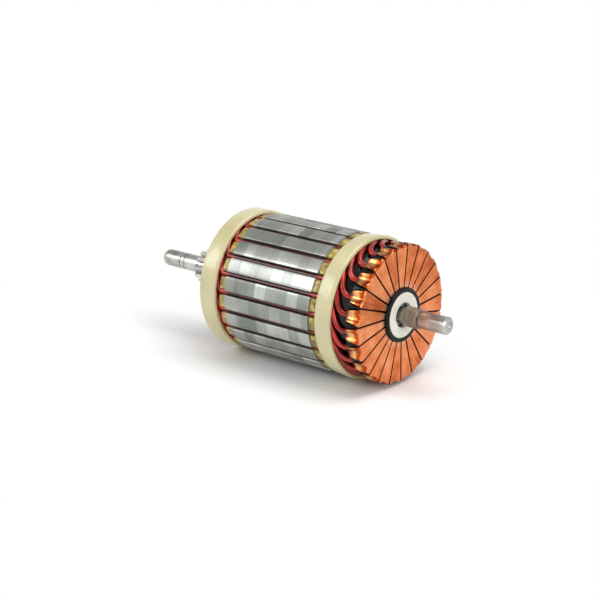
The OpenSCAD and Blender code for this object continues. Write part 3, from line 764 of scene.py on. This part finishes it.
# Painted shade and highlight: dark red by the face for the shaded trough and gold in the middle for
# its highlight, along with the heat tint.
tint_shade_and_highlight = maths(fused_copper, "ADD", reached, ranged(fused_copper, waves, 0.3, 0.7, -0.16, 0.16))
link(fused_copper, ramp(fused_copper, tint_shade_and_highlight, (0.06, "#8a4030"), (0.22, "#d99a6c"), (0.42, "#f0bd74"),
                        (0.66, "#c8581f"), (0.86, "#a83e18"), (1, "#e08a58")), shader, "Base Color")
relief(fused_copper, shader, waves, 0.4, 0.2)

# Brush dust and painted shade: carbon and copper have packed into the saw cuts, and their
# walls are painted dark brown, which is also painted shade deep in the narrow cuts, so that
# they draw sharp lines across the face.
dust_and_cut_shade, shader = new_material("dust_and_cut_shade", Roughness=0.8)
place = add(dust_and_cut_shade, "TexCoord").outputs["Object"]
packed = noise(dust_and_cut_shade, place, 700)
link(dust_and_cut_shade, ramp(dust_and_cut_shade, packed, (0.3, "#190806"), (0.7, "#3a140c")),
     shader, "Base Color")


def plate_half(r):
    """Half the width that two saw cuts leave to a segment at radius r."""
    return r * math.sin(PITCH / 2) - CUT_W / 2


tang_top_r = TANG_UNDER_R + TANG_T
tang_end_x = FACE_X - TANG_REACH
root_x = FACE_X - KNEE
# The skin of a segment runs along (station, radius, half width): out over the face, round
# the knee, back along the tang and home along its underside.
face_end_r = FACE_R - FACE_EDGE
face_radii = [COPPER_BORE_R + (face_end_r - COPPER_BORE_R) * i / 10 for i in range(11)]
outside = [(FACE_X, r, plate_half(r)) for r in face_radii]
for x, r in arc(root_x, tang_top_r - KNEE, KNEE, 12, 90, 8):
    share = min(1, (FACE_X - x) / KNEE)
    outside.append((x, r, plate_half(FACE_R) + (TANG_W / 2 - plate_half(FACE_R)) * share))
tang_length = root_x - tang_end_x
end_rows = [tang_length - TANG_ROUND * share for share in (1, 0.7, 0.45, 0.22, 0.08, 0)]
for gone in [tang_length * i / 12 for i in range(1, 10)] + end_rows:
    left = tang_length - gone
    half = (TANG_W + (TANG_END_W - TANG_W) * gone / tang_length) / 2
    if left < TANG_ROUND:
        half += math.sqrt(TANG_ROUND ** 2 - (TANG_ROUND - left) ** 2) - TANG_ROUND
    outside.append((root_x - gone, tang_top_r, half))
underside = [(x, TANG_UNDER_R, half) for x, r, half in reversed(outside[-15:])
             if x < plate_back_x - 1.5 * TANG_GAP]
underside += [(plate_back_x, TANG_UNDER_R, TANG_W / 2 - TANG_GAP)]
plate_back = [(plate_back_x, COPPER_BORE_R + (FACE_R - RIM_DEPTH - COPPER_BORE_R) * i / 4)
              for i in range(4, -1, -1)]
skin = outside + underside + [(x, r, plate_half(r)) for x, r in plate_back]


def troughed(r, y):
    """A radius cut down where the electrode has pressed its trough, with soft lips."""
    centre = tang_top_r + ELECTRODE_R - TROUGH_DEPTH
    floor = centre - math.sqrt(max(0, ELECTRODE_R ** 2 - y * y))
    soft = TROUGH_LIP ** 2
    return (r + floor - math.sqrt((r - floor) ** 2 + soft)) / 2 + soft / 8


pattern = bmesh.new()
columns = []
for k in range(COLUMNS + 1):
    share = 2 * k / COLUMNS - 1
    column = []
    for row, (x, r, half) in enumerate(skin):
        y = half * share
        height = math.sqrt(r * r - y * y) if r <= FACE_R else r
        if row < len(outside) and r > FACE_R - RIM_DEPTH:
            height = troughed(height, y)
        inset = CUT_EDGE if abs(share) == 1 and x == FACE_X else 0
        column.append(pattern.verts.new((x - inset, -y, height)))
    columns.append(column)
pattern.faces.new(columns[0])
pattern.faces.new(columns[-1][::-1])
for before, after in zip(columns, columns[1:]):
    for k in range(len(skin)):
        pattern.faces.new((before[k], after[k], after[k - 1], before[k - 1]))
bmesh.ops.recalc_face_normals(pattern, faces=pattern.faces)
for face in pattern.faces:
    centre = face.calc_center_median()
    # The segment's side walls in the saw cuts take the dark cut material: dust and painted shade.
    if len(face.verts) > 4:
        face.material_index = 2
    elif math.hypot(centre.y, centre.z) > face_end_r - 0.1:
        face.material_index = 1
pattern_mesh = bpy.data.meshes.new("segment_pattern")
pattern.to_mesh(pattern_mesh)
pattern.free()
for i in range(SLOTS):
    bm = bmesh.new()
    bm.from_mesh(pattern_mesh)
    bmesh.ops.rotate(bm, matrix=Matrix.Rotation(SEGMENT_ANGLE + i * PITCH, 3, "X"),
                     verts=bm.verts)
    finished(bm, f"hooked_segment_{i + 1:02d}", [face_copper, fused_copper, dust_and_cut_shade],
             [f"segment_{i + 1:02d}"])
bpy.data.meshes.remove(pattern_mesh)

# ---- Floor, light and camera ----
# The armature lies on a wide sheet of pale card in a pale room. One soft box hangs over
# it, a second fills its drive end and a third is turned to the commutator's face.
FLOOR_Z = -BAND_R * MM
FLOOR_SIZE = 6
LIT_FLOOR_R, WHITE_FLOOR_R = 0.09, 0.2


def stage_plane(name, size, centre, material):
    """A level square of the stage, in metres."""
    bm = bmesh.new()
    bmesh.ops.create_grid(bm, x_segments=1, y_segments=1, size=size / 2)
    bmesh.ops.translate(bm, vec=centre, verts=bm.verts)
    mesh = bpy.data.meshes.new(name)
    bm.to_mesh(mesh)
    bm.free()
    mesh.materials.append(material)
    plane = bpy.data.objects.new(name, mesh)
    bpy.context.scene.collection.objects.link(plane)


# The card is lit near the armature, so that it keeps the shadow. Far off it is plain
# white to the camera and in reflections.
floor_card, shader = new_material("pale_floor_card", Roughness=0.9)
shader.inputs["Base Color"].default_value = linear("#fafafa")
place = add(floor_card, "TexCoord").outputs["Object"]
rays = add(floor_card, "LightPath")
seen = maths(floor_card, "MAXIMUM", rays.outputs["Is Camera Ray"], rays.outputs["Is Glossy Ray"])
distance = add(floor_card, "VectorMath", {0: place}, operation="LENGTH").outputs["Value"]
far = ranged(floor_card, distance, LIT_FLOOR_R, WHITE_FLOOR_R, 0, 1)
white = add(floor_card, "Emission", {"Color": linear("#ffffff"), "Strength": 1.0}).outputs[0]
both = add(floor_card, "MixShader", {0: maths(floor_card, "MULTIPLY", seen, far),
                                     1: shader.outputs[0], 2: white}).outputs[0]
surface = floor_card.node_tree.nodes["Material Output"].inputs["Surface"]
floor_card.node_tree.links.new(both, surface)
stage_plane("floor", FLOOR_SIZE, (0, 0, FLOOR_Z), floor_card)

# The room is white to the camera, dimmer as a lamp, and in reflections it falls from
# white at the horizon to grey overhead.
ROOM_LIGHT = 0.5
ZENITH = 0.4
HAZE_TOP, GREY_FROM = 0.1, 0.75
world = bpy.data.worlds.new("pale_room")
bpy.context.scene.world = world
world.use_nodes = True
sky = world.node_tree.nodes["Background"]
sky.inputs["Color"].default_value = linear("#ffffff")
direction = add(world, "TexCoord").outputs["Generated"]
height = add(world, "SeparateXYZ", {0: direction}).outputs["Z"]
rays = add(world, "LightPath")
mirrored = ranged(world, height, HAZE_TOP, GREY_FROM, 1.0, ZENITH)
level = ranged(world, rays.outputs["Is Glossy Ray"], 0, 1, ROOM_LIGHT, mirrored)
level = ranged(world, rays.outputs["Is Camera Ray"], 0, 1, level, 1.0)
world.node_tree.links.new(level, sky.inputs["Strength"])


def softbox(name, place, aim, size, watts):
    """A rectangular lamp at a place, turned to an aim, in metres."""
    data = bpy.data.lights.new(name, "AREA")
    data.shape = "RECTANGLE"
    data.size, data.size_y = size
    data.energy = watts
    lamp = bpy.data.objects.new(name, data)
    lamp.location = place
    lamp.rotation_euler = (Vector(aim) - Vector(place)).to_track_quat("-Z", "Y").to_euler()
    bpy.context.scene.collection.objects.link(lamp)


softbox("key_softbox", (0.25, 0.1, 0.9), (0, 0, 0), (0.7, 0.7), 5.5)
softbox("fill_softbox", (-0.6, -0.6, 0.45), (0, 0, 0), (0.4, 0.4), 2.2)
softbox("face_softbox", (0.9, -0.2, 0.3), (0.05, 0, 0), (0.4, 0.3), 2.2)

# A short telephoto lens looks down on the face from its left. The face's centre stands
# right of the middle of the frame and a little below it.
LENS, SENSOR = 107.59, 36
CAMERA_DISTANCE = 794.5
AIM_LEFT, AIM_UP = 45.04, 6.482
camera_data = bpy.data.cameras.new("camera")
camera_data.lens = LENS
camera_data.sensor_width = SENSOR
camera_data.clip_end = 20
camera = bpy.data.objects.new("camera", camera_data)
right = Vector((0.7721, 0.6355, 0))
back = Vector((0.6046, -0.7345, 0.3080)).normalized()
right = (right - back * right.dot(back)).normalized()
up = back.cross(right)
aim = Vector((FACE_X, 0, 0)) - right * AIM_LEFT + up * AIM_UP
camera.matrix_world = (Matrix.Translation((aim + back * CAMERA_DISTANCE) * MM)
                       @ Matrix((right, up, back)).transposed().to_4x4())
bpy.context.scene.collection.objects.link(camera)
bpy.context.scene.camera = camera
bpy.context.scene.view_settings.view_transform = "Standard"
